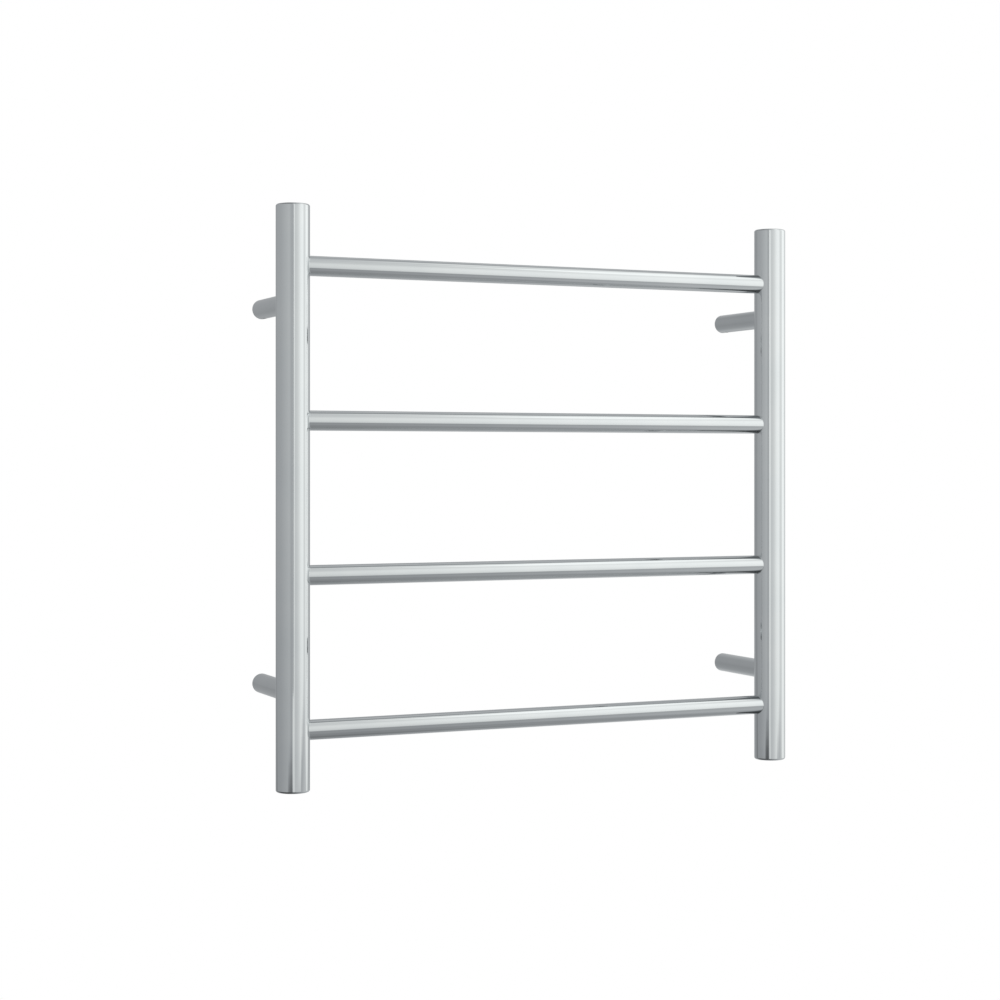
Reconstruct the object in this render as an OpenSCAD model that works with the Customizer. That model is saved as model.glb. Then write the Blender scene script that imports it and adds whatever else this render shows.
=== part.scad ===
// Electric towel warmer rack for a wall: a welded ladder of round steel tubes,
// heated from inside by one cable. It slides over four wall spigots and is held
// by four lock screws. All lengths are in millimetres.
// X runs along the rails, +Y points into the wall, and +Z is up. The origin lies
// on the wall plane, at the centre of the rectangle of the four wall screws.

/* [Rack] */
// Overall width across both posts
rack_w = 550; // [450:5:900]
// Overall height of the posts
rack_h = 550; // [500:5:900]
// Distance from the wall to the plane of the post and rail axes
wall_reach = 99; // [90:1:140]
// Distance from a post's end to the nearest rail's axis
rail_inset = 57; // [50:1:70]
// Distance from a post's end to the nearest standoff's axis
standoff_inset = 92; // [88:1:110]

/* [Tubes] */
// Outer diameter of the posts
post_d = 32; // [32:0.5:38]
// Wall thickness of the posts
post_wall = 1.5; // [1.2:0.1:1.6]
// Outer diameter of the rails
rail_d = 19; // [18:0.5:22]
// Wall thickness of the rails
rail_wall = 1; // [0.8:0.1:1.5]
// Outer diameter of the standoffs
standoff_d = 19; // [19:0.5:22]
// Wall thickness of the standoffs
standoff_wall = 2; // [1.8:0.1:2]
// Radius of the rounded rims of the post caps
cap_edge_r = 2; // [1:0.25:2.5]

/* [Wall fixing] */
// Length of a wall spigot, which is how far the rack slides onto it
spigot_len = 28; // [24:1:40]
// Diameter of the hole for the wall screw in a spigot
screw_hole_d = 4.5; // [4:0.1:4.5]
// Diameter of a lock screw's thread
lock_screw_d = 5; // [4:0.5:5]
// Length of a lock screw
lock_screw_len = 4; // [3.5:0.25:4.25]
// Distance from the wall to a lock screw's axis
lock_screw_inset = 12; // [10:1:16]

/* [Heating] */
// Diameter of the heating cable
cable_d = 4; // [3.5:0.25:4.5]
// Radius of the heating cable's bends, on its axis
cable_bend_r = 8; // [7:0.25:8]
// Diameter of the bore for the supply lead in its grommet
lead_bore_d = 5; // [4.5:0.1:5.2]

/* [Hidden] */
$fn = 96;

// A corner of the rack: its name, its side (-1 left, 1 right) and its end (-1 bottom, 1 top).
CORNERS = [
    ["top_left", -1, 1], ["top_right", 1, 1],
    ["bottom_left", -1, -1], ["bottom_right", 1, -1],
];
WIRED = CORNERS[2];
N_RAILS = 4;
eps = 0.01;

// Tube radii and places
post_r = post_d / 2;
post_bore_r = post_r - post_wall;
rail_bore_r = rail_d / 2 - rail_wall;
standoff_r = standoff_d / 2;
socket_r = standoff_r - standoff_wall;
post_x = rack_w / 2 - post_r;
standoff_z = rack_h / 2 - standoff_inset;
// The rails share the height evenly, to the nearest tenth of a millimetre.
rail_pitch = round(10 * (rack_h - 2 * rail_inset) / (N_RAILS - 1)) / 10;
function rail_z(i) = ((N_RAILS - 1) / 2 - i) * rail_pitch;

// Post caps: a round lid with a boss that fits inside the tube
cap_t = 3;
cap_boss_len = 4;
cap_fit = 0.05;
cap_inner_z = rack_h / 2 - cap_t - cap_boss_len;

// Standoffs and wall spigots
standoff_chamfer = 0.4;
spigot_fit = 0.1;
spigot_r = socket_r - spigot_fit;
spigot_chamfer = 1;
flat_depth = 2.4;
flat_z = spigot_r - flat_depth;
screw_offset = 3;
lead_offset = 4.2;
lead_groove_r = 3.2;
grommet_len = 8;
lead_hole_d = 12;

// Lock screws: a hex socket set screw with a cup point
thread_fit = 0.05;
lock_screw_gap = 0.05;
lock_screw_chamfer = 0.4;
lock_socket_af = lock_screw_d / 2;
lock_socket_depth = 2;
lock_cup_d = lock_screw_d / 2;
lock_cup_depth = 0.6;

// Heating cable: it lies on the floor of each rail's bore
cable_r = cable_d / 2;
cable_drop = rail_bore_r - cable_r - 0.1;
function cable_z(i) = rail_z(i) - cable_drop;
cable_tail = 6;
end_seal_d = 6.4;
end_seal_len = 20;
end_seal_wall = 8;

// Splice of the supply lead and the cable, with the thermal cut-out on top of it
splice_d = 9;
splice_len = 34;
splice_taper = 4;
splice_x = -post_x - (post_bore_r - splice_d / 2 - 1);
splice_dy = 1;
splice_z = -rack_h / 2 + 29;
cutout_w = 7.2;
cutout_t = 4.4;
cutout_len = 20;

// Earth connection on the lower left cap
earth_x = -post_x + 5;
earth_dy = 3.4;
earth_z = -cap_inner_z;
stud_d = 4;
stud_len = 10;
washer_d = 8;
washer_t = 1;
tag_d = 8;
tag_t = 0.8;
tag_neck = 0.6;
nut_af = 7;
nut_t = 3.2;
barrel_d = 3.2;
barrel_len = 5;
barrel_depth = 4;
wire_d = 1.8;
wire_bend_r = 4;
bore_play = 0.1;
barrel_mouth = tag_d / 2 + tag_neck + barrel_len;

// Places a child in a corner, on the standoff's axis where it meets the wall. Inside,
// +X points to the rack's middle and +Z into the wall.
module at_corner(c) {
    translate([c[1] * post_x, 0, c[2] * standoff_z])
        mirror([c[1] > 0 ? 1 : 0, 0, 0])
            children();
}

// Turns a shape drawn along +Z so that it runs from the wall towards the posts.
module from_wall() {
    rotate([90, 0, 0]) children();
}

// Solid cylinder that a post fills, for coping what is welded to it.
module post_envelope(side) {
    translate([side * post_x, -wall_reach, -rack_h / 2])
        cylinder(r = post_r, h = rack_h);
}

module hex_prism(af, h) {
    cylinder(d = af / cos(30), h = h, $fn = 6);
}

// Tube with holes into the rails. Only the wired post has a hole for the supply lead.
module post(side) {
    half = rack_h / 2 - cap_t;
    color("gainsboro")
    translate([side * post_x, -wall_reach, 0])
        difference() {
            translate([0, 0, -half]) cylinder(r = post_r, h = 2 * half);
            translate([0, 0, -half - eps]) cylinder(r = post_bore_r, h = 2 * half + 2 * eps);
            for (i = [0 : N_RAILS - 1])
                translate([0, 0, rail_z(i)])
                    rotate([0, -side * 90, 0])
                        cylinder(r = rail_bore_r, h = post_d);
            if (side == WIRED[1])
                translate([0, 0, WIRED[2] * standoff_z])
                    rotate([-90, 0, 0])
                        cylinder(d = lead_hole_d, h = post_d);
        }
}

// Turned lid with a rounded rim, butt welded to the end of a post.
module cap(c) {
    rim_r = post_r - cap_edge_r;
    color("gainsboro")
    translate([c[1] * post_x, -wall_reach, c[2] * (rack_h / 2 - cap_t)])
        mirror([0, 0, c[2] > 0 ? 0 : 1]) {
            rotate_extrude() {
                square([post_r, cap_t - cap_edge_r]);
                square([rim_r, cap_t]);
                translate([rim_r, cap_t - cap_edge_r])
                    intersection() {
                        circle(r = cap_edge_r);
                        square(cap_edge_r);
                    }
            }
            translate([0, 0, -cap_boss_len])
                cylinder(r = post_bore_r - cap_fit, h = cap_boss_len + eps);
        }
}

// Tube coped at both ends to sit on the posts. Rail 0 is the top one.
module rail(i) {
    color("gainsboro")
    difference() {
        translate([-post_x, -wall_reach, rail_z(i)])
            rotate([0, 90, 0])
                difference() {
                    cylinder(d = rail_d, h = 2 * post_x);
                    translate([0, 0, -eps]) cylinder(r = rail_bore_r, h = 2 * post_x + 2 * eps);
                }
        for (side = [-1, 1]) post_envelope(side);
    }
}

// Thick tube from a post to the wall, with a tapped hole below for its lock screw.
module standoff(c) {
    color("gainsboro")
    difference() {
        at_corner(c)
            difference() {
                from_wall()
                    rotate_extrude()
                        polygon([
                            [socket_r, 0],
                            [standoff_r - standoff_chamfer, 0],
                            [standoff_r, standoff_chamfer],
                            [standoff_r, wall_reach],
                            [socket_r, wall_reach],
                        ]);
                translate([0, -lock_screw_inset, -standoff_r - 1])
                    cylinder(r = lock_screw_d / 2 + thread_fit, h = standoff_r);
            }
        post_envelope(c[1]);
    }
}

// Groove with a round floor that the supply lead lies in, open on the inner side.
module lead_groove(length) {
    translate([lead_offset, 0, 0]) cylinder(r = lead_groove_r, h = length);
    translate([lead_offset, -lead_groove_r, 0]) cube([socket_r, 2 * lead_groove_r, length]);
}

// Turned bar screwed to the wall. A standoff slides over it.
module wall_spigot(c) {
    color("darkgray")
    at_corner(c)
        from_wall()
            difference() {
                union() {
                    cylinder(r = spigot_r, h = spigot_len - spigot_chamfer);
                    translate([0, 0, spigot_len - spigot_chamfer])
                        cylinder(r1 = spigot_r, r2 = spigot_r - spigot_chamfer, h = spigot_chamfer);
                }
                translate([-spigot_r, -spigot_r - flat_z, -1])
                    cube([2 * spigot_r, spigot_r, spigot_len + 2]);
                translate([-screw_offset, 0, -1])
                    cylinder(d = screw_hole_d, h = spigot_len + 2);
                translate([0, 0, -1]) lead_groove(spigot_len + 2);
            }
}

// Silicone bush that closes the wired spigot's groove around the supply lead.
module lead_grommet() {
    color("dimgray")
    at_corner(WIRED)
        from_wall()
            difference() {
                intersection() {
                    cylinder(r = spigot_r, h = grommet_len);
                    lead_groove(grommet_len);
                }
                translate([lead_offset, 0, -1]) cylinder(d = lead_bore_d, h = grommet_len + 2);
            }
}

// Set screw in the underside of a standoff, with its point on the spigot's flat.
module lock_screw(c) {
    r = lock_screw_d / 2;
    straight = lock_screw_len - 2 * lock_screw_chamfer;
    top = -flat_z - lock_screw_gap;
    color("slategray")
    at_corner(c)
        translate([0, -lock_screw_inset, top - lock_screw_len])
            difference() {
                union() {
                    cylinder(r1 = r - lock_screw_chamfer, r2 = r, h = lock_screw_chamfer);
                    translate([0, 0, lock_screw_chamfer]) cylinder(r = r, h = straight);
                    translate([0, 0, lock_screw_chamfer + straight])
                        cylinder(r1 = r, r2 = r - lock_screw_chamfer, h = lock_screw_chamfer);
                }
                translate([0, 0, -1]) hex_prism(lock_socket_af, lock_socket_depth + 1);
                translate([0, 0, lock_screw_len - lock_cup_depth])
                    cylinder(d1 = eps, d2 = lock_cup_d, h = lock_cup_depth);
            }
}

// Straight stretches and quarter bends of a cable of diameter d in the plane y = dy.
module run_x(x0, x1, z, d, dy = 0) {
    translate([min(x0, x1), dy - wall_reach, z])
        rotate([0, 90, 0]) cylinder(d = d, h = abs(x1 - x0));
}

module run_z(x, z0, z1, d, dy = 0) {
    translate([x, dy - wall_reach, min(z0, z1)]) cylinder(d = d, h = abs(z1 - z0));
}

// Quarter bend about (x, z), from angle a to a + 90, counted from +X towards +Z.
module bend(x, z, a, r, d, dy = 0) {
    translate([x, dy - wall_reach, z])
        rotate([90, 0, 0]) rotate([0, 0, a])
            rotate_extrude(angle = 90)
                translate([r, 0]) circle(d = d);
}

// The cable's climb inside a post, out of rail i and into the rail above it.
module cable_climb(side, i) {
    r = cable_bend_r;
    mirror([side < 0 ? 1 : 0, 0, 0]) {
        bend(post_x - r, cable_z(i) + r, 270, r, cable_d);
        run_z(post_x, cable_z(i) + r, cable_z(i - 1) - r, cable_d);
        bend(post_x - r, cable_z(i - 1) - r, 0, r, cable_d);
    }
}

// One length of silicone heating cable: out of the splice, through the rails from the
// bottom one to the top one, and up into its end seal.
module heating_cable() {
    r = cable_bend_r;
    rise_x = splice_x + 2 * r;
    last = N_RAILS - 1;
    color("firebrick") {
        bend(splice_x + r, splice_z, 180, r, cable_d);
        bend(splice_x + r, splice_z, 270, r, cable_d);
        run_z(rise_x, splice_z, cable_z(last) - r, cable_d);
        bend(rise_x + r, cable_z(last) - r, 90, r, cable_d);
        run_x(rise_x + r, post_x - r, cable_z(last), cable_d);
        for (i = [1 : last]) cable_climb(i % 2 == 1 ? 1 : -1, i);
        for (i = [0 : last - 1]) run_x(-post_x + r, post_x - r, cable_z(i), cable_d);
        bend(-post_x + r, cable_z(0) + r, 180, r, cable_d);
        run_z(-post_x, cable_z(0) + r, cable_z(0) + r + cable_tail, cable_d);
    }
}

// Moulded cap over the far end of the heating cable.
module cable_end_seal() {
    color("dimgray")
    translate([-post_x, -wall_reach, cable_z(0) + cable_bend_r + cable_tail - end_seal_wall])
        difference() {
            union() {
                cylinder(d = end_seal_d, h = end_seal_len - end_seal_d / 2);
                translate([0, 0, end_seal_len - end_seal_d / 2]) sphere(d = end_seal_d);
            }
            translate([0, 0, -eps]) cylinder(d = cable_d, h = end_seal_wall + eps);
        }
}

// Shrink sleeve over the crimped joints of the supply lead, the cable and the earth wire.
module lead_splice() {
    r = splice_d / 2;
    neck = r - 1;
    color("dimgray")
    translate([splice_x, splice_dy - wall_reach, splice_z])
        rotate_extrude()
            polygon([
                [0, 0], [neck, 0], [r, splice_taper], [r, splice_len - splice_taper],
                [neck, splice_len], [0, splice_len],
            ]);
}

// Thermal cut-out: a flat can with round sides, in line with the supply lead.
module thermal_cutout() {
    side = (cutout_w - cutout_t) / 2;
    color("silver")
    translate([splice_x, splice_dy - wall_reach, splice_z + splice_len])
        linear_extrude(cutout_len) {
            square([2 * side, cutout_t], center = true);
            for (s = [-1, 1]) translate([s * side, 0]) circle(d = cutout_t);
        }
}

// Places a child on the earth stud, height above the lower left cap.
module on_stud(height = 0) {
    translate([earth_x, earth_dy - wall_reach, earth_z + height]) children();
}

module earth_stud() {
    color("silver") on_stud() cylinder(d = stud_d, h = stud_len);
}

module earth_washer() {
    color("silver") on_stud()
        difference() {
            cylinder(d = washer_d, h = washer_t);
            translate([0, 0, -eps]) cylinder(d = stud_d + 2 * bore_play, h = washer_t + 2 * eps);
        }
}

// Ring terminal whose barrel is crimped on the earth wire.
module earth_tag() {
    color("goldenrod") on_stud(washer_t)
        difference() {
            union() {
                cylinder(d = tag_d, h = tag_t);
                translate([-barrel_mouth, -barrel_d / 2, 0])
                    cube([barrel_mouth, barrel_d, tag_t]);
                translate([-barrel_mouth, 0, barrel_d / 2])
                    rotate([0, 90, 0]) cylinder(d = barrel_d, h = barrel_len);
            }
            translate([0, 0, -eps]) cylinder(d = stud_d + 2 * bore_play, h = barrel_d + 2 * eps);
            translate([-barrel_mouth - eps, 0, barrel_d / 2])
                rotate([0, 90, 0]) cylinder(d = wire_d, h = barrel_depth + eps);
        }
}

module earth_nut() {
    color("silver") on_stud(washer_t + tag_t)
        difference() {
            hex_prism(nut_af, nut_t);
            translate([0, 0, -eps]) cylinder(d = stud_d + 2 * bore_play, h = nut_t + 2 * eps);
        }
}

// Earth wire from the tag's barrel up into the splice.
module earth_wire() {
    r = wire_bend_r;
    z = earth_z + washer_t + barrel_d / 2;
    wire_end = earth_x - barrel_mouth + barrel_depth;
    color("yellowgreen") {
        run_x(splice_x + r, wire_end, z, wire_d, earth_dy);
        bend(splice_x + r, z + r, 180, r, wire_d, earth_dy);
        run_z(splice_x, z + r, splice_z, wire_d, earth_dy);
    }
}

post(-1);  // left_post
post(1);  // right_post
for (c = CORNERS) {
    cap(c);
    standoff(c);
    wall_spigot(c);
    lock_screw(c);
}
for (i = [0 : N_RAILS - 1])
    rail(i);
lead_grommet();
lead_splice();
thermal_cutout();
heating_cable();
cable_end_seal();
earth_stud();
earth_washer();
earth_tag();
earth_nut();
earth_wire();
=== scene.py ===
"""Looks of the towel warmer rack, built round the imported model.

The tubes, their caps and welds, the spigots, the lock screws and the lead grommet are
remade as fine meshes with exact surface normals, because a mirror finish shows every
facet. Each one stands for one CAD node and has the size and place that the frame gives.
The sealed heating parts stay as the CAD made them, with better materials.
"""

import math

import bpy
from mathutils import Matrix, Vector


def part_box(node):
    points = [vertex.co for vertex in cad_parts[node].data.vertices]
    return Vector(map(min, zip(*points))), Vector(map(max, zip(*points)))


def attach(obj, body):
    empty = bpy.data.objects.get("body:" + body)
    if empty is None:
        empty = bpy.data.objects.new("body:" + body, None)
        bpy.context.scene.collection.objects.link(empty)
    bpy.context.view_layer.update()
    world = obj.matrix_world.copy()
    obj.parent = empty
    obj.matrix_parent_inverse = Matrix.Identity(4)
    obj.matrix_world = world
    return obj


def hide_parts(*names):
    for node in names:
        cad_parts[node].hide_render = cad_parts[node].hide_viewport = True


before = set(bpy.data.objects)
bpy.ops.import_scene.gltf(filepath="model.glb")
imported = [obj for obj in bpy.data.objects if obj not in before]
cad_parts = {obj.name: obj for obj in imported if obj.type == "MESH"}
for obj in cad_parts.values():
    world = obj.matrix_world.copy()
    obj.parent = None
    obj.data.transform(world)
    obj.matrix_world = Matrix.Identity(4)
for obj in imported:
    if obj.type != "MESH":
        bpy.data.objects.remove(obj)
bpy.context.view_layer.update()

MM = 0.001
TAU = 2 * math.pi

# ---------------------------------------------------------------- sizes from the frame

SIDES = {"left": -1, "right": 1}
ENDS = {"bottom": -1, "top": 1}
CORNERS = [(end, side) for end in ENDS for side in SIDES]
RAILS = ["rail_1", "rail_2", "rail_3", "rail_4"]


def middle(node):
    low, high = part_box(node)
    return (Vector(low) + Vector(high)) / 2


def extent(node):
    low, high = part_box(node)
    return Vector(high) - Vector(low)


post_r = extent("left_post").x / 2
post_y = middle("left_post").y
post_x = middle("right_post").x
post_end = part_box("left_post")[1][2]
cap_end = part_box("cap_top_left")[1][2]
rail_r = extent("rail_1").z / 2
standoff_r = extent("standoff_top_left").x / 2
standoff_z = middle("standoff_top_left").z
screw_y = middle("lock_screw_top_left").y
screw_r = extent("lock_screw_top_left").x / 2
screw_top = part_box("lock_screw_top_left")[1][2] - standoff_z
screw_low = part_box("lock_screw_top_left")[0][2] - standoff_z
spigot_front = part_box("wall_spigot_top_left")[0][1]
spigot_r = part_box("wall_spigot_top_left")[1][2] - standoff_z
spigot_flat = standoff_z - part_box("wall_spigot_top_left")[0][2]
grommet_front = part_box("lead_grommet")[0][1]

# Sizes that a box doesn't give, as the CAD has them
POST_BORE_R = 14.5 * MM
CAP_EDGE_R = 2 * MM
RAIL_BORE_R = 8.5 * MM
SOCKET_R = 7.5 * MM
STANDOFF_CHAMFER = 0.4 * MM
THREAD_HOLE_R = 2.55 * MM
LEAD_HOLE_R = 6 * MM
LEAD_OFFSET = 4.2 * MM
GROOVE_R = 3.2 * MM
SCREW_OFFSET = 3 * MM
WALL_SCREW_R = 2.25 * MM
LEAD_BORE_R = 2.5 * MM
CAP_FIT = 0.05 * MM
SPIGOT_CHAMFER = 1 * MM

# Lock screw: its thread, the point's and foot's chamfers, the hex socket and the cup
THREAD_PITCH = 0.8 * MM
THREAD_DEPTH = 0.42 * MM
SCREW_CHAMFER = 0.4 * MM
SOCKET_HALF = 1.25 * MM
SOCKET_DEPTH = 2 * MM
CUP_R = 1.25 * MM
CUP_DEPTH = 0.6 * MM

# Small edges that the CAD leaves sharp: at a socket's mouth, a spigot's back, a bush's ends
MOUTH_EDGE = 0.2 * MM
SPIGOT_EDGE = 0.15 * MM
BUSH_EDGE = 0.5 * MM
BUSH_FIT = 0.05 * MM

# The polished welds: radius of the fillet between two tubes, and how deep it is tucked in
WELD_R = 0.4 * MM
TUCK = 0.5 * MM

# Segments round a tube, the least angle of a sharp edge, how close two points are one
# point, and how close a point must be to a true surface to lie on it
ROUND = 144
SHARP = math.radians(35)
SAME = 1e-7
NEAR = 0.02 * MM


# ---------------------------------------------------------------- meshes made of rings

def key(p):
    """Names a point's place, so that points that meet are found again."""
    return tuple(round(c / SAME) for c in p)


class Solid:
    """A closed mesh built ring by ring, which keeps the true normal of every corner."""

    def __init__(self, name):
        self.name = name
        self.points = []
        self.index = {}
        self.faces = []
        self.normals = []

    def vertex(self, p):
        k = key(p)
        if k not in self.index:
            self.index[k] = len(self.points)
            self.points.append(Vector(p))
        return self.index[k]

    def face(self, points, normals):
        ids = [self.vertex(p) for p in points]
        kept = [i for i in range(len(ids)) if ids[i] != ids[i - 1]]
        if len(kept) < 3:
            return
        ids = [ids[i] for i in kept]
        normals = [Vector(normals[i]) for i in kept]
        a, b, c = (self.points[i] for i in (ids[0], ids[1], ids[-1]))
        facing = sum(normals, Vector())
        if (b - a).cross(c - a).dot(facing) < 0:
            ids.reverse()
            normals.reverse()
        self.faces.append(ids)
        self.normals.append(normals)

    def strip(self, first, second):
        """Quads between two rings, each a list of (point, normal)."""
        count = len(first)
        for i in range(count):
            j = (i + 1) % count
            corners = [first[i], first[j], second[j], second[i]]
            self.face([c[0] for c in corners], [c[1] for c in corners])

    def rings(self, rings, closed=False):
        pairs = zip(rings, rings[1:] + rings[:1]) if closed else zip(rings, rings[1:])
        for first, second in pairs:
            self.strip(first, second)

    def lid(self, ring, normal):
        self.face([p for p, _ in ring], [normal] * len(ring))

    def finish(self, material, body, node, slot, exact=True):
        """Makes the piece, with the exact normals or with its own and sharp edges."""
        piece = as_object(self)
        piece.data.shade_smooth()
        if exact:
            piece.data.normals_split_custom_set([n for face in self.normals for n in face])
        else:
            piece.data.set_sharp_from_angle(angle=SHARP)
        return dress(piece, material, body, node)


def new_object(name, points, faces):
    """An object with this mesh, in the scene."""
    mesh = bpy.data.meshes.new(name)
    mesh.from_pydata(points, [], faces)
    mesh.update()
    made = bpy.data.objects.new(name, mesh)
    bpy.context.scene.collection.objects.link(made)
    return made


def as_object(solid):
    return new_object(solid.name, solid.points, solid.faces)


def dress(piece, material, body, node):
    """Gives a piece its material and the body that it rides on, and hides the CAD node that it
    stands for.
    """
    piece.data.materials.clear()
    piece.data.materials.append(material)
    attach(piece, body)
    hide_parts(node)
    return piece


def turned(profile, axis, centre, count=ROUND):
    """Rings of a turned shape. The profile lists (radius, along, normal out, normal along).

    A radius is a number, or a function of the angle for a ring that isn't round.
    """
    along = Vector(axis)
    across = Vector((1, 0, 0)) if abs(along.x) < 0.5 else Vector((0, 0, 1))
    up = along.cross(across)
    rings = []
    for radius, distance, n_out, n_along in profile:
        ring = []
        for i in range(count):
            a = TAU * i / count
            out = across * math.cos(a) + up * math.sin(a)
            normal = (out * n_out + along * n_along).normalized()
            reach = radius(a) if callable(radius) else radius
            ring.append((Vector(centre) + out * reach + along * distance, normal))
        rings.append(ring)
    return rings


def round_rim(radius, along, r, steps):
    """Profile points of a rim rounded by r, from facing outwards to facing along the axis."""
    rows = []
    for i in range(steps + 1):
        a = TAU / 4 * i / steps
        out = math.cos(a)
        up = math.sin(a)
        rows.append((radius + r * out, along + r * up, out, up))
    return rows


# ---------------------------------------------------------------- tubes and welds

def weld_rings(tube_r, bore_r, count=ROUND, steps=10):
    """The end of a tube welded to a post, in the post's frame.

    The tube runs along x from the post, whose axis is z. A ball of radius WELD_R rolls
    round the corner between the two: its centre and contact points give the fillet.
    """
    reach = post_r + WELD_R
    girth = tube_r + WELD_R
    bore = []
    end_face = []
    end_rim = []
    sleeve_start = []
    sleeve_end = []
    fan = [[] for _ in range(steps + 1)]
    for i in range(count):
        a = TAU * i / count
        c, s = math.cos(a), math.sin(a)
        ball = Vector((math.sqrt(reach**2 - (girth * c) ** 2), girth * c, girth * s))
        to_post = Vector((-ball.x, -ball.y, 0)).normalized()
        to_tube = Vector((0, -c, -s))
        turn = to_post.angle(to_tube)
        for k in range(steps + 1):
            t = k / steps
            toward = (to_post * math.sin((1 - t) * turn) + to_tube * math.sin(t * turn))
            toward /= math.sin(turn)
            fan[k].append((ball + toward * WELD_R, -toward))
        contact = ball + to_post * WELD_R
        tucked = contact + to_post * TUCK
        end_rim.append((tucked, to_post))
        sleeve_start.append((tucked, -to_tube))
        sleeve_end.append((contact, -to_tube))
        inner_x = math.sqrt((post_r - TUCK) ** 2 - (bore_r * c) ** 2)
        inside = Vector((inner_x, bore_r * c, bore_r * s))
        bore.append((inside, to_tube))
        end_face.append((inside, Vector((-1, 0, 0))))
    return bore, [end_face, end_rim, sleeve_start, sleeve_end] + fan


def moved(ring, place):
    """Turns and shifts a ring. place maps a vector; normals use its linear part."""
    zero = place(Vector((0, 0, 0)))
    return [(place(p), (place(n) - zero).normalized()) for p, n in ring]


def along_tube(start, stop, pieces):
    """Rings that divide a straight tube between two rings."""
    rows = []
    for k in range(1, pieces):
        t = k / pieces
        rows.append([(a[0].lerp(b[0], t), a[1]) for a, b in zip(start, stop)])
    return rows


def rail(node):
    """A rail, welded to a post at each end."""
    centre_z = middle(node).z
    bore, outside = weld_rings(rail_r, RAIL_BORE_R)

    def at_left(p):
        return Vector((p.x - post_x, p.y + post_y, p.z + centre_z))

    def at_right(p):
        return Vector((post_x - p.x, p.y + post_y, p.z + centre_z))

    left = [moved(ring, at_left) for ring in outside]
    right = [moved(ring, at_right) for ring in outside]
    right.reverse()
    solid = Solid(node + "_tube")
    rings = left + along_tube(left[-1], right[0], 24) + right
    rings += [moved(bore, at_right), moved(bore, at_left)]
    solid.rings(rings, closed=True)
    return solid.finish(polished["x"], "rack", node, "polished_steel")


def cut(piece, cutters):
    """Cuts closed meshes out of a piece and throws the cutters away."""
    for cutter in cutters:
        step = piece.modifiers.new("cut", "BOOLEAN")
        step.operation = "DIFFERENCE"
        step.solver = "EXACT"
        step.object = cutter
    depsgraph = bpy.context.evaluated_depsgraph_get()
    mesh = bpy.data.meshes.new_from_object(piece.evaluated_get(depsgraph))
    piece.modifiers.clear()
    old = piece.data
    piece.data = mesh
    bpy.data.meshes.remove(old)
    for cutter in cutters:
        bpy.data.objects.remove(cutter)


def rod(radius, start, stop, count=72):
    """A plain round cutter between two points. It is used up by cut() and never shown."""
    axis = (Vector(stop) - Vector(start)).normalized()
    length = (Vector(stop) - Vector(start)).length
    solid = Solid("cutter")
    rings = turned([(radius, 0, 1, 0), (radius, length, 1, 0)], axis, start, count)
    solid.rings(rings)
    solid.lid(rings[0], -axis)
    solid.lid(rings[1], axis)
    return as_object(solid)


def shade(piece, known, surfaces):
    """Gives a cut mesh its true normals back.

    known maps a corner's place to the normals it had before the cut. surfaces are tests
    that take a point and its face's normal and return the true normal or None.
    """
    mesh = piece.data
    mesh.shade_smooth()
    normals = []
    for polygon in mesh.polygons:
        flat = polygon.normal
        for i in polygon.vertices:
            p = mesh.vertices[i].co
            options = known.get(key(p), [])[:]
            options += [n for n in (test(p, flat) for test in surfaces) if n is not None]
            best = max(options, key=lambda n: n.dot(flat), default=flat)
            normals.append(best if best.dot(flat) > 0.85 else flat)
    mesh.normals_split_custom_set(normals)


def remembered(solid):
    """The normals at each place of a mesh, for shade()."""
    known = {}
    for face, normals in zip(solid.faces, solid.normals):
        for i, normal in zip(face, normals):
            known.setdefault(key(solid.points[i]), []).append(normal)
    return known


def around(axis_point, axis, radius, inward=False):
    """A test for the cylinder of this radius about an axis through a point."""
    axis = Vector(axis)
    centre = Vector(axis_point)

    def test(p, flat):
        out = (p - centre) - axis * (p - centre).dot(axis)
        if abs(out.length - radius) > NEAR:
            return None
        normal = -out.normalized() if inward else out.normalized()
        return normal if normal.dot(flat) > 0.7 else None

    return test


def post(side):
    """A post's tube, with the holes that the cable takes into the rails."""
    node = side + "_post"
    centre = Vector((SIDES[side] * post_x, post_y, 0))
    solid = Solid(node + "_tube")
    rows = [(post_r, -post_end, 1, 0)]
    heights = sorted(middle(name).z for name in RAILS)
    rows += [(post_r, z, 1, 0) for z in heights]
    rows += [(post_r, post_end, 1, 0)]
    inner = [(POST_BORE_R, z, -1, 0) for _, z, _, _ in reversed(rows)]
    top = [(post_r, post_end, 0, 1), (POST_BORE_R, post_end, 0, 1)]
    bottom = [(POST_BORE_R, -post_end, 0, -1), (post_r, -post_end, 0, -1)]
    solid.rings(turned(rows + top + inner + bottom, (0, 0, 1), centre), closed=True)
    piece = as_object(solid)
    inwards = Vector((-SIDES[side], 0, 0))
    holes = []
    for name in RAILS:
        start = Vector((centre.x, post_y, middle(name).z))
        holes.append(rod(RAIL_BORE_R, start, start + inwards * 2 * post_r))
    if side == "left":
        start = Vector((centre.x, post_y, -standoff_z))
        holes.append(rod(LEAD_HOLE_R, start, start + Vector((0, 2 * post_r, 0))))
    cut(piece, holes)
    shade(piece, remembered(solid), [
        around(centre, (0, 0, 1), post_r),
        around(centre, (0, 0, 1), POST_BORE_R, inward=True),
    ])
    piece.data.name = solid.name
    return dress(piece, polished["z"], "rack", node)


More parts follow.
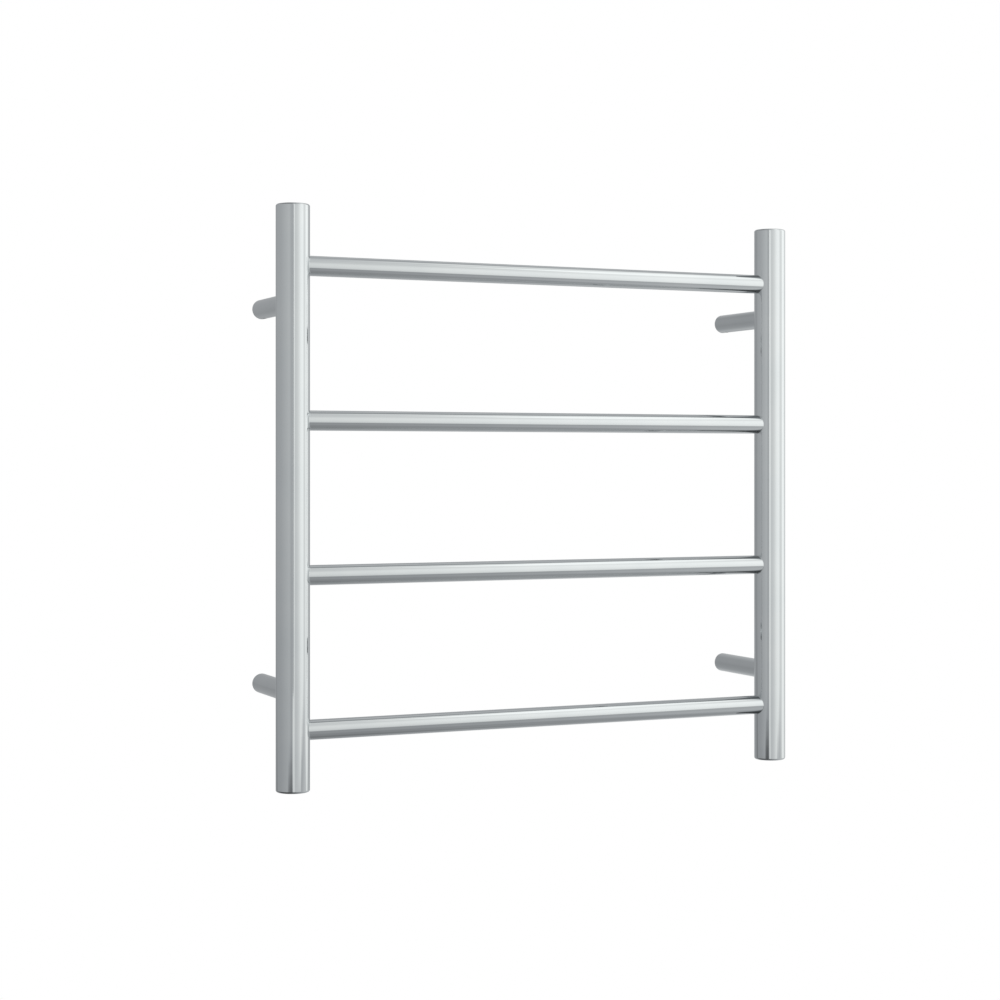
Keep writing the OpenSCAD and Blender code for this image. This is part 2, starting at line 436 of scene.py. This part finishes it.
def cap(end, side):
    """A lid with a rounded rim, polished flush with its post, and its boss inside."""
    node = f"cap_{end}_{side}"
    flip = ENDS[end]
    centre = Vector((SIDES[side] * post_x, post_y, 0))
    boss_r = POST_BORE_R - CAP_FIT
    boss_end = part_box(f"cap_top_{side}")[0][2]
    flat_r = post_r - CAP_EDGE_R
    rim = round_rim(flat_r, cap_end - CAP_EDGE_R, CAP_EDGE_R, 16)
    face = [(flat_r * share, cap_end, 0, 1) for share in (1, 0.99, 0.75, 0.5, 0.25, 0.05)]
    profile = [
        (0.05 * boss_r, boss_end, 0, -1), (boss_r, boss_end, 0, -1),
        (boss_r, boss_end, 1, 0), (boss_r, post_end, 1, 0),
        (boss_r, post_end, 0, -1), (post_r, post_end, 0, -1),
        (post_r, post_end, 1, 0),
    ] + rim + face
    rings = turned(profile, (0, 0, flip), centre)
    solid = Solid(node + "_lid")
    solid.rings(rings)
    solid.lid(rings[0], Vector((0, 0, -flip)))
    solid.lid(rings[-1], Vector((0, 0, flip)))
    return solid.finish(polished["z"], "rack", node, "polished_steel")


def standoff(end, side):
    """The thick tube to the wall, welded to the post, with its tapped hole below."""
    node = f"standoff_{end}_{side}"
    axis_x = SIDES[side] * post_x
    axis_z = ENDS[end] * standoff_z
    bore, outside = weld_rings(standoff_r, SOCKET_R)

    def place(p):
        return Vector((axis_x + p.y, post_y + p.x, axis_z + p.z))

    def level(ring, radius, y, n_out, n_y):
        """A flat ring at y, in step with the points of another one."""
        rows = []
        for p, _ in ring:
            out = Vector((p.x - axis_x, 0, p.z - axis_z)).normalized()
            point = Vector((axis_x, y, axis_z)) + out * radius
            rows.append((point, (out * n_out + Vector((0, n_y, 0))).normalized()))
        return rows

    outer = [moved(ring, place) for ring in outside]
    inner = moved(bore, place)
    last = outer[-1]
    rim_r = standoff_r - STANDOFF_CHAMFER
    mouth_r = SOCKET_R + MOUTH_EDGE
    rim = [
        level(last, standoff_r, -STANDOFF_CHAMFER, 1, 0),
        level(last, standoff_r, -STANDOFF_CHAMFER, 1, 1),
        level(last, rim_r, 0, 1, 1),
        level(last, rim_r, 0, 0, 1),
        level(last, mouth_r, 0, 0, 1),
        level(last, mouth_r, 0, -1, 1),
        level(last, SOCKET_R, -MOUTH_EDGE, -1, 1),
        level(last, SOCKET_R, -MOUTH_EDGE, -1, 0),
    ]
    solid = Solid(node + "_tube")
    solid.rings(outer + along_tube(last, rim[0], 6) + rim + [inner], closed=True)
    piece = as_object(solid)
    foot = Vector((axis_x, screw_y, axis_z))
    cut(piece, [rod(THREAD_HOLE_R, foot, foot - Vector((0, 0, 2 * standoff_r)))])
    axis = (0, 1, 0)
    shade(piece, remembered(solid), [
        around(foot, axis, standoff_r),
        around(foot, axis, SOCKET_R, inward=True),
        around(foot, (0, 0, 1), THREAD_HOLE_R, inward=True),
    ])
    piece.data.name = solid.name
    return dress(piece, polished["y"], "rack", node)


# ---------------------------------------------------------------- fixings

def lock_screw(end, side):
    """A set screw with a rolled thread, a hex socket below and a cup point above."""
    node = f"lock_screw_{end}_{side}"
    centre = Vector((SIDES[side] * post_x, screw_y, ENDS[end] * standoff_z))
    steps_per_turn = 16

    def thread(z):
        def radius(a):
            phase = (z / THREAD_PITCH - a / TAU) % 1
            ridge = min(1, max(0, (abs(phase - 0.5) * 2 - 0.12) / 0.76))
            limit = min(z - screw_low, screw_top - z) + screw_r - SCREW_CHAMFER
            return min(screw_r - THREAD_DEPTH * ridge, limit)
        return radius

    def hexagon(scale=1, wider=0):
        def radius(a):
            return scale * SOCKET_HALF / math.cos(a % (TAU / 6) - TAU / 12) + wider
        return radius

    pin = 0.05 * MM
    floor_z = screw_low + SOCKET_DEPTH
    foot_r = screw_r - SCREW_CHAMFER - 0.02 * MM
    profile = [
        (pin, floor_z + 0.5 * MM, 0, -1),
        (hexagon(scale=0.95), floor_z, -0.3, -1),
        (hexagon(), floor_z, -1, 0),
        (hexagon(), screw_low + 0.1 * MM, -1, 0),
        (hexagon(wider=0.1 * MM), screw_low, 0, -1),
        (foot_r, screw_low, 0, -1),
    ]
    total = round((screw_top - screw_low) / THREAD_PITCH * steps_per_turn)
    for k in range(total + 1):
        z = screw_low + (screw_top - screw_low) * k / total
        from_end = min(k, total - k)
        lean = 0 if from_end >= steps_per_turn / 2 else -0.6 if k == from_end else 0.6
        profile.append((thread(z), z, 1, lean))
    profile += [(CUP_R, screw_top, 0, 1), (pin, screw_top - CUP_DEPTH, -1, 1)]
    rings = turned(profile, (0, 0, 1), centre, 96)
    solid = Solid(node + "_threaded")
    solid.rings(rings)
    solid.lid(rings[0], Vector((0, 0, -1)))
    solid.lid(rings[-1], Vector((0, 0, 1)))
    return solid.finish(screw_steel, node, node, "screw_steel", exact=False)


def spigot(end, side):
    """The turned bar on the wall: a flat below, the screw's hole and the lead's groove."""
    node = f"wall_spigot_{end}_{side}"
    inward = -SIDES[side]
    centre = Vector((SIDES[side] * post_x, 0, ENDS[end] * standoff_z))
    length = -spigot_front
    back_r = spigot_r - SPIGOT_EDGE
    tip = length - SPIGOT_CHAMFER
    tip_r = spigot_r - SPIGOT_CHAMFER
    middle_r = 0.1 * spigot_r
    profile = [
        (middle_r, 0, 0, -1), (back_r, 0, 0, -1),
        (back_r, 0, 1, -1), (spigot_r, SPIGOT_EDGE, 1, -1),
        (spigot_r, SPIGOT_EDGE, 1, 0), (spigot_r, tip, 1, 0),
        (spigot_r, tip, 1, 1), (tip_r, length, 1, 1),
        (tip_r, length, 0, 1), (middle_r, length, 0, 1),
    ]
    rings = turned(profile, (0, -1, 0), centre)
    solid = Solid(node + "_turned")
    solid.rings(rings)
    solid.lid(rings[0], Vector((0, 1, 0)))
    solid.lid(rings[-1], Vector((0, -1, 0)))
    piece = as_object(solid)
    past = 2 * MM
    wide = 2 * spigot_r
    hole = centre - Vector((inward * SCREW_OFFSET, 0, 0))
    lead = centre + Vector((inward * LEAD_OFFSET, 0, 0))

    def prism(outline):
        """A cutter right through the spigot. The outline lists (x, z) about its axis."""
        inside = sum((Vector(p) for p in outline), Vector((0, 0))) / len(outline)
        rings = []
        for y in (past, -length - past):
            ring = []
            for x, z in outline:
                out = Vector((x - inside.x, 0, z - inside.y))
                ring.append((centre + Vector((x, y, z)), out))
            rings.append(ring)
        block = Solid("cutter")
        block.rings(rings)
        block.lid(rings[0], Vector((0, 1, 0)))
        block.lid(rings[1], Vector((0, -1, 0)))
        return as_object(block)

    groove = []
    for k in range(49):
        a = TAU / 2 * k / 48
        groove.append((inward * (LEAD_OFFSET - GROOVE_R * math.sin(a)), GROOVE_R * math.cos(a)))
    groove += [(inward * wide, -GROOVE_R), (inward * wide, GROOVE_R)]
    flat = [(-wide, -wide), (wide, -wide), (wide, -spigot_flat), (-wide, -spigot_flat)]
    start = hole + Vector((0, past, 0))
    stop = hole - Vector((0, length + past, 0))
    cut(piece, [rod(WALL_SCREW_R, start, stop), prism(groove), prism(flat)])
    axis = (0, 1, 0)
    shade(piece, remembered(solid), [
        around(centre, axis, spigot_r),
        around(hole, axis, WALL_SCREW_R, inward=True),
        around(lead, axis, GROOVE_R, inward=True),
    ])
    piece.data.name = solid.name
    return dress(piece, turned_steel, "wall_fixings", node)


def grommet():
    """The silicone bush round the supply lead: it fills the groove's mouth."""
    centre = Vector((SIDES["left"] * (post_x - LEAD_OFFSET), 0, -standoff_z))
    groove_r = GROOVE_R - BUSH_FIT

    def outline(a):
        """The groove's round side towards the spigot's axis, else the spigot's own round."""
        c, s = math.cos(a), math.sin(a)
        to_round = -LEAD_OFFSET * c + math.sqrt((spigot_r - BUSH_FIT) ** 2 - (LEAD_OFFSET * s) ** 2)
        to_groove = groove_r if c <= 0 else groove_r / max(abs(s), 0.01)
        return min(to_round, to_groove)

    def bore(a):
        return LEAD_BORE_R

    def grown(shape, by):
        def radius(a):
            return shape(a) + by
        return radius

    def rounded(shape, y, outwards, away):
        """Profile points of a rounded edge, from the end face at y to the side."""
        rows = []
        for k in range(6):
            a = TAU / 4 * k / 5
            inset = BUSH_EDGE * (1 - math.sin(a))
            rise = BUSH_EDGE * (1 - math.cos(a))
            rows.append((grown(shape, -outwards * inset), y - away * rise,
                         outwards * math.sin(a), away * math.cos(a)))
        return rows

    profile = rounded(outline, 0, 1, 1) + rounded(outline, grommet_front, 1, -1)[::-1]
    profile += rounded(bore, grommet_front, -1, -1) + rounded(bore, 0, -1, 1)[::-1]
    solid = Solid("lead_grommet_bush")
    solid.rings(turned(profile, (0, 1, 0), centre, 120), closed=True)
    return solid.finish(rubber, "wall_fixings", "lead_grommet", "grommet_rubber", exact=False)


# ---------------------------------------------------------------- node helpers

def put(tree, kind, inputs=(), **settings):
    """Adds a node. inputs gives each named input a value or another node's output."""
    made = tree.nodes.new(kind)
    for name, value in settings.items():
        setattr(made, name, value)
    for name, value in dict(inputs).items():
        if isinstance(value, bpy.types.NodeSocket):
            tree.links.new(value, made.inputs[name])
        else:
            made.inputs[name].default_value = value
    return made


def maths(tree, operation, *values):
    """A sum on values or other nodes' outputs."""
    made = tree.nodes.new("ShaderNodeMath")
    made.operation = operation
    for socket, value in zip(made.inputs, values):
        if isinstance(value, bpy.types.NodeSocket):
            tree.links.new(value, socket)
        else:
            socket.default_value = value
    return made.outputs[0]


def spread(tree, value, low, high, to_low, to_high, smooth=False):
    """Maps a value from one range to another, held at both ends."""
    kind = "SMOOTHSTEP" if smooth else "LINEAR"
    inputs = {"Value": value, "From Min": low, "From Max": high,
              "To Min": to_low, "To Max": to_high}
    return put(tree, "ShaderNodeMapRange", inputs, interpolation_type=kind).outputs[0]


def ramp(tree, factor, stops):
    """A ramp through (position, colour) stops."""
    made = put(tree, "ShaderNodeValToRGB", {"Fac": factor})
    band = made.color_ramp
    while len(band.elements) < len(stops):
        band.elements.new(0.5)
    for element, (position, colour) in zip(band.elements, stops):
        element.position = position
        element.color = (*colour, 1)
    return made.outputs["Color"]


def noise(tree, place, scale, stretch=(1, 1, 1), detail=2.0, rough=0.5):
    """Noise of this scale per metre. A small stretch makes it long along that axis."""
    vector = put(tree, "ShaderNodeMapping", {"Vector": place, "Scale": stretch}).outputs[0]
    inputs = {"Vector": vector, "Scale": scale, "Detail": detail, "Roughness": rough}
    return put(tree, "ShaderNodeTexNoise", inputs).outputs[0]


def surface(name, metallic=0.0, ior=1.5):
    """A new material, its tree, its shader and object coordinates."""
    made = bpy.data.materials.new(name)
    made.use_nodes = True
    tree = made.node_tree
    shader = tree.nodes["Principled BSDF"]
    shader.inputs["Metallic"].default_value = metallic
    shader.inputs["IOR"].default_value = ior
    place = put(tree, "ShaderNodeTexCoord").outputs["Object"]
    return made, tree, shader, place


def bump(tree, shader, layers):
    """Stacks bump layers of (height, depth in metres) on a shader."""
    normal = None
    for height, depth in layers:
        inputs = {"Height": height, "Distance": depth, "Strength": 1.0}
        if normal is not None:
            inputs["Normal"] = normal
        normal = put(tree, "ShaderNodeBump", inputs).outputs[0]
    tree.links.new(normal, shader.inputs["Normal"])


# ---------------------------------------------------------------- materials

def polished_steel(axis):
    """Stainless steel polished to a mirror. Hairlines of the last buffing run along the tube."""
    made, tree, shader, place = surface("polished_steel_" + axis, metallic=1)
    stretch = [1, 1, 1]
    stretch["xyz".index(axis)] = 0.012
    hairs = noise(tree, place, 5200, stretch, detail=3, rough=0.6)
    haze = noise(tree, place, 26, detail=3)
    smudges = noise(tree, place, 7, detail=5, rough=0.62)
    tint = spread(tree, haze, 0.3, 0.7, 0, 1)
    colour = ramp(tree, tint, [(0, (0.569, 0.590, 0.600)), (1, (0.594, 0.611, 0.619))])
    tree.links.new(colour, shader.inputs["Base Color"])
    gloss = spread(tree, smudges, 0.42, 0.68, 0.035, 0.075, smooth=True)
    gloss = maths(tree, "ADD", gloss, spread(tree, hairs, 0.45, 0.8, 0, 0.03))
    tree.links.new(gloss, shader.inputs["Roughness"])
    waves = noise(tree, place, 55, detail=1)
    bump(tree, shader, [(waves, 0.00003), (hairs, 0.0000012)])
    return made


def satin_turned_steel():
    """Turned stainless steel: fine lathe rings round the spigot's own axis, slightly dull."""
    made, tree, shader, place = surface("turned_steel", metallic=1)
    rings = noise(tree, place, 4200, (0.02, 1, 0.02), detail=3, rough=0.6)
    cloud = noise(tree, place, 120, detail=4)
    colour = ramp(tree, cloud, [(0.3, (0.50, 0.505, 0.505)), (0.7, (0.60, 0.60, 0.595))])
    tree.links.new(colour, shader.inputs["Base Color"])
    tree.links.new(spread(tree, cloud, 0.3, 0.7, 0.24, 0.36), shader.inputs["Roughness"])
    bump(tree, shader, [(rings, 0.000006)])
    return made


def fastener_steel():
    """Plain stainless fastener steel with a dull rolled surface."""
    made, tree, shader, place = surface("screw_steel", metallic=1)
    cloud = noise(tree, place, 700, detail=4)
    colour = ramp(tree, cloud, [(0.3, (0.36, 0.36, 0.355)), (0.7, (0.50, 0.50, 0.49))])
    tree.links.new(colour, shader.inputs["Base Color"])
    tree.links.new(spread(tree, cloud, 0.3, 0.7, 0.28, 0.42), shader.inputs["Roughness"])
    bump(tree, shader, [(cloud, 0.000012)])
    return made


def moulded(name, dark, light, grain, roughness=(0.45, 0.6), depth=0.00001, metallic=0.0):
    """A moulded or drawn surface with a fine grain and a little change of colour."""
    made, tree, shader, place = surface(name, metallic=metallic, ior=1.45)
    fine = noise(tree, place, grain, detail=4, rough=0.6)
    broad = noise(tree, place, grain / 12, detail=2)
    colour = ramp(tree, broad, [(0.35, dark), (0.65, light)])
    tree.links.new(colour, shader.inputs["Base Color"])
    tree.links.new(spread(tree, fine, 0.3, 0.7, *roughness), shader.inputs["Roughness"])
    bump(tree, shader, [(fine, depth)])
    return made


polished = {axis: polished_steel(axis) for axis in "xyz"}
turned_steel = satin_turned_steel()
screw_steel = fastener_steel()
rubber = moulded("grommet_rubber", (0.018, 0.018, 0.018), (0.03, 0.03, 0.03), 2600)
inner = {
    "lead_splice": moulded("shrink_sleeve", (0.012, 0.012, 0.013), (0.03, 0.03, 0.03), 1800),
    "cable_end_seal": moulded("end_seal_rubber", (0.02, 0.02, 0.02), (0.04, 0.04, 0.04), 2400),
    "heating_cable": moulded("cable_silicone", (0.30, 0.05, 0.035), (0.40, 0.08, 0.05), 2000),
    "earth_wire": moulded("earth_insulation", (0.20, 0.34, 0.03), (0.42, 0.48, 0.04), 900),
    "thermal_cutout": moulded("cutout_metal", (0.55, 0.55, 0.54), (0.66, 0.66, 0.64), 1500,
                              roughness=(0.22, 0.34), metallic=1.0),
    "earth_tag": moulded("tag_brass", (0.60, 0.44, 0.18), (0.72, 0.56, 0.27), 1500,
                         roughness=(0.22, 0.36), metallic=1.0),
}
inner["earth_nut"] = inner["earth_tag"]
inner["earth_stud"] = inner["earth_washer"] = screw_steel

# ---------------------------------------------------------------- the object

for side in SIDES:
    post(side)
for end, side in CORNERS:
    cap(end, side)
    standoff(end, side)
    spigot(end, side)
    lock_screw(end, side)
for name in RAILS:
    rail(name)
grommet()
for name, finish in inner.items():
    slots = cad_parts[name].data.materials
    slots.clear()
    slots.append(finish)

# ---------------------------------------------------------------- camera

# The camera looks level, turned to the right, from the left of the rack's middle. A small
# shift keeps the rack's place in the picture with its upright edges parallel.
CAMERA_TURN = math.radians(24.565)
CAMERA_DISTANCE = 2.0406
CAMERA_SIDESTEP = -0.0108
CAMERA_HEIGHT = 0.0334
CAMERA_LENS = 74.32
CAMERA_SHIFT = (-0.0329, -0.0377)

ahead = Vector((math.sin(CAMERA_TURN), math.cos(CAMERA_TURN), 0))
sideways = Vector((math.cos(CAMERA_TURN), -math.sin(CAMERA_TURN), 0))
rack_middle = Vector((0, post_y, 0))
lens = bpy.data.cameras.new("camera")
lens.sensor_width = 36
lens.lens = CAMERA_LENS
lens.shift_x, lens.shift_y = CAMERA_SHIFT
lens.clip_start = 0.05
lens.clip_end = 60
camera = bpy.data.objects.new("camera", lens)
bpy.context.scene.collection.objects.link(camera)
camera.location = (rack_middle - ahead * CAMERA_DISTANCE + sideways * CAMERA_SIDESTEP
                   + Vector((0, 0, CAMERA_HEIGHT)))
camera.rotation_euler = (math.radians(90), 0, -CAMERA_TURN)
bpy.context.scene.camera = camera

# ---------------------------------------------------------------- studio

# A round light tent stands about the rack. Azimuths are in degrees from the rack's front
# towards its right, and elevations are above the level of its middle.
TENT_R = 1.7
TENT_STEP = 2
# All of the studio's light is this much stronger than the levels listed below
STUDIO_POWER = 1.2
# A colour ramp holds values up to 1, so it keeps each level as a share of this one
TOP_LEVEL = 1.5
# How bright the tent is round the rack's level: grey cloth at the left, a wide soft panel
# from the front to the right with two brighter folds, and grey again behind the rack.
WALL_LIGHT = [
    (-180, 0.37), (-150, 0.38), (-138, 0.45), (-100, 0.48), (-60, 0.57), (-48, 0.60),
    (-42, 0.55), (-34, 0.51), (-28.6, 0.50), (-27.6, 0.98), (-16, 0.98), (-13, 0.76),
    (0, 0.79), (8, 0.85), (16, 0.92), (24, 1.04), (32, 1.11), (46, 1.17), (50, 1.09),
    (56, 1.00), (62, 0.88), (70, 0.96), (77, 1.10), (82, 1.34), (87, 1.16), (108, 1.06),
    (113, 0.50), (150, 0.46), (180, 0.37),
]
# The same at about 52 degrees up, where a bright lamp stands at the right, and higher
HIGH_LIGHT = [
    (-180, 0.42), (-158, 0.42), (-145, 0.24), (-60, 0.22), (-30, 0.28), (-8, 0.36),
    (5, 0.55), (15, 0.74), (25, 0.80), (35, 0.95), (42, 1.32), (75, 1.26), (85, 1.04),
    (95, 0.90), (103, 0.46), (120, 0.52), (150, 0.62), (168, 0.58), (180, 0.42),
]
ROOF_LIGHT = [
    (-180, 0.30), (-150, 0.22), (-100, 0.22), (-60, 0.30), (-30, 0.40), (-10, 0.66),
    (10, 0.74), (25, 0.68), (35, 0.75), (50, 0.82), (62, 0.95), (98, 0.95), (107, 0.56),
    (114, 0.47), (145, 0.44), (165, 0.55), (180, 0.30),
]
ZENITH_LIGHT = 0.59
# The floor is pale at the right and dark at the left: its light just below the wall,
# further down, and right under the rack
LOW_LIGHT = [
    (-180, 0.40), (-155, 0.35), (-135, 0.20), (-110, 0.10), (-40, 0.10), (-15, 0.20),
    (0, 0.31), (15, 0.39), (25, 0.43), (35, 0.50), (50, 0.58), (65, 0.66), (90, 0.60),
    (145, 0.56), (165, 0.48), (180, 0.40),
]
DEEP_LIGHT = [
    (-180, 0.20), (-130, 0.10), (-90, 0.07), (-40, 0.08), (-10, 0.16), (15, 0.31),
    (35, 0.34), (55, 0.38), (105, 0.37), (125, 0.42), (150, 0.42), (168, 0.30), (180, 0.20),
]
NADIR_LIGHT = 0.24
# The lowest elevation of the wall, where the floor begins
WALL_FOOT = [
    (-180, -8), (-150, -8), (-132, -20), (-64, -20), (-52, -16.8), (-33, -16.2),
    (-26, -18.5), (-18, -21), (28, -19), (36, -16.2), (44, -15.4), (54, -13.9), (64, -14.4),
    (76, -18), (86, -22), (100, -19), (140, -20), (162, -10), (180, -8),
]
# How the wall's light changes from its foot upwards
WALL_TILT = [(-24, 0.78), (-12, 0.91), (-4, 0.98), (8, 1.03), (26, 1.05), (40, 0.92)]
# The elevations between which each list gives way to the next one, and half the height
# over which the wall gives way to the floor at its foot
HIGH_BAND = (40, 50)
ROOF_BAND = (58, 67)
ZENITH_BAND = (72, 82)
DEEP_BAND = (-40, -60)
NADIR_BAND = (-64, -82)
FOOT_BLUR = 2.5
# A narrow grey card inside the tent: its distance, its two azimuths, its heights, its light
CARD_R = 1.16
CARD_SPAN = (-32, -24.7)
CARD_HEIGHTS = (-0.30, 0.62)
CARD_LIGHT = 0.50
# The floor lies below everything else and reaches past the picture's edges
FLOOR_HALF = 20
FLOOR_Z = -1.0


def turn_stops(rows, scale):
    """Ramp stops for (azimuth, value) rows."""
    return [((azimuth + 180) / 360, (value * scale,) * 3) for azimuth, value in rows]


def rise_stops(rows, scale):
    """Ramp stops for (elevation, value) rows."""
    return [((elevation + 90) / 180, (value * scale,) * 3) for elevation, value in rows]


def bare_material(name):
    """A new material with an empty tree."""
    made = bpy.data.materials.new(name)
    made.use_nodes = True
    made.node_tree.nodes.clear()
    return made, made.node_tree


def emit(tree, colour, strength):
    glow = put(tree, "ShaderNodeEmission", {"Color": colour, "Strength": strength})
    out = put(tree, "ShaderNodeOutputMaterial")
    tree.links.new(glow.outputs[0], out.inputs["Surface"])


def glow_by(tree, light):
    """Emission of this level. Dim parts are a little bluish, bright ones neutral."""
    colour = ramp(tree, light, [(0.4, (0.95, 0.975, 1.0)), (0.9, (0.985, 1.0, 0.985))])
    emit(tree, colour, maths(tree, "MULTIPLY", light, STUDIO_POWER))


def tent_material():
    """The tent's light by azimuth and elevation, both in degrees."""
    made, tree = bare_material("tent_light")
    place = put(tree, "ShaderNodeTexCoord").outputs["Object"]
    parts = put(tree, "ShaderNodeSeparateXYZ", {"Vector": place}).outputs
    front = maths(tree, "MULTIPLY", parts["Y"], -1)
    azimuth = maths(tree, "ARCTAN2", parts["X"], front)
    turn = spread(tree, azimuth, -math.pi, math.pi, 0, 1)
    sine = maths(tree, "DIVIDE", parts["Z"], TENT_R)
    elevation = maths(tree, "MULTIPLY", maths(tree, "ARCSINE", sine), 180 / math.pi)
    height = spread(tree, elevation, -90, 90, 0, 1)

    def level(rows):
        share = ramp(tree, turn, turn_stops(rows, 1 / TOP_LEVEL))
        return maths(tree, "MULTIPLY", share, TOP_LEVEL)

    def mixed(band, low, high):
        amount = spread(tree, elevation, *band, 0, 1, smooth=True)
        part = maths(tree, "MULTIPLY", amount, maths(tree, "SUBTRACT", high, low))
        return maths(tree, "ADD", low, part)

    tilt = ramp(tree, height, rise_stops(WALL_TILT, 1 / TOP_LEVEL))
    tilt = maths(tree, "MULTIPLY", tilt, TOP_LEVEL)
    wall = maths(tree, "MULTIPLY", level(WALL_LIGHT), tilt)
    upper = mixed(HIGH_BAND, wall, level(HIGH_LIGHT))
    upper = mixed(ROOF_BAND, upper, level(ROOF_LIGHT))
    upper = mixed(ZENITH_BAND, upper, ZENITH_LIGHT)
    lower = mixed(DEEP_BAND, level(LOW_LIGHT), level(DEEP_LIGHT))
    lower = mixed(NADIR_BAND, lower, NADIR_LIGHT)
    drop = maths(tree, "MULTIPLY", ramp(tree, turn, turn_stops(WALL_FOOT, -1 / 90)), 90)
    above_foot = maths(tree, "ADD", elevation, drop)
    is_wall = spread(tree, above_foot, -FOOT_BLUR, FOOT_BLUR, 0, 1, smooth=True)
    part = maths(tree, "MULTIPLY", is_wall, maths(tree, "SUBTRACT", upper, lower))
    glow_by(tree, maths(tree, "ADD", lower, part))
    return made


def backstage(piece, material):
    """Studio parts that only the steel sees."""
    piece.location = rack_middle
    piece.data.materials.append(material)
    piece.visible_camera = False
    piece.visible_shadow = False


def tent():
    """The tent's sphere, seen only in the steel."""
    rows = [math.radians(a) for a in range(TENT_STEP // 2 - 90, 90, TENT_STEP)]
    profile = [(TENT_R * math.cos(a), TENT_R * math.sin(a), 1, 0) for a in rows]
    rings = turned(profile, (0, 0, 1), (0, 0, 0), 180)
    solid = Solid("light_tent")
    solid.rings(rings)
    solid.lid(rings[0], Vector((0, 0, -1)))
    solid.lid(rings[-1], Vector((0, 0, 1)))
    backstage(as_object(solid), tent_material())


def card():
    """A narrow grey card stands inside the tent, at the panel's left edge."""
    foot, top = (Vector((0, 0, z)) for z in CARD_HEIGHTS)
    left, right = (Vector((math.sin(a), -math.cos(a), 0)) * CARD_R
                   for a in map(math.radians, CARD_SPAN))
    corners = [left + foot, right + foot, right + top, left + top]
    made, tree = bare_material("card_light")
    light = put(tree, "ShaderNodeValue").outputs[0]
    light.default_value = CARD_LIGHT
    glow_by(tree, light)
    backstage(new_object("grey_card", corners, [(0, 1, 2, 3)]), made)


def floor():
    """A plain, evenly lit pale floor that the steel doesn't see."""
    corners = [Vector((x, y, FLOOR_Z)) for x, y in (
        (-FLOOR_HALF, -FLOOR_HALF), (FLOOR_HALF, -FLOOR_HALF),
        (FLOOR_HALF, FLOOR_HALF), (-FLOOR_HALF, FLOOR_HALF))]
    piece = new_object("floor", corners, [(0, 1, 2, 3)])
    made, tree = bare_material("floor_white")
    emit(tree, (1, 1, 1, 1), 1.0)
    piece.data.materials.append(made)
    piece.visible_glossy = piece.visible_diffuse = piece.visible_shadow = False


def white_world():
    world = bpy.data.worlds.new("white")
    world.use_nodes = True
    background = world.node_tree.nodes["Background"].inputs
    background["Color"].default_value = (1, 1, 1, 1)
    background["Strength"].default_value = 1.0
    bpy.context.scene.world = world


tent()
card()
floor()
white_world()
bpy.context.scene.view_settings.view_transform = "Standard"

bpy.context.view_layer.update()
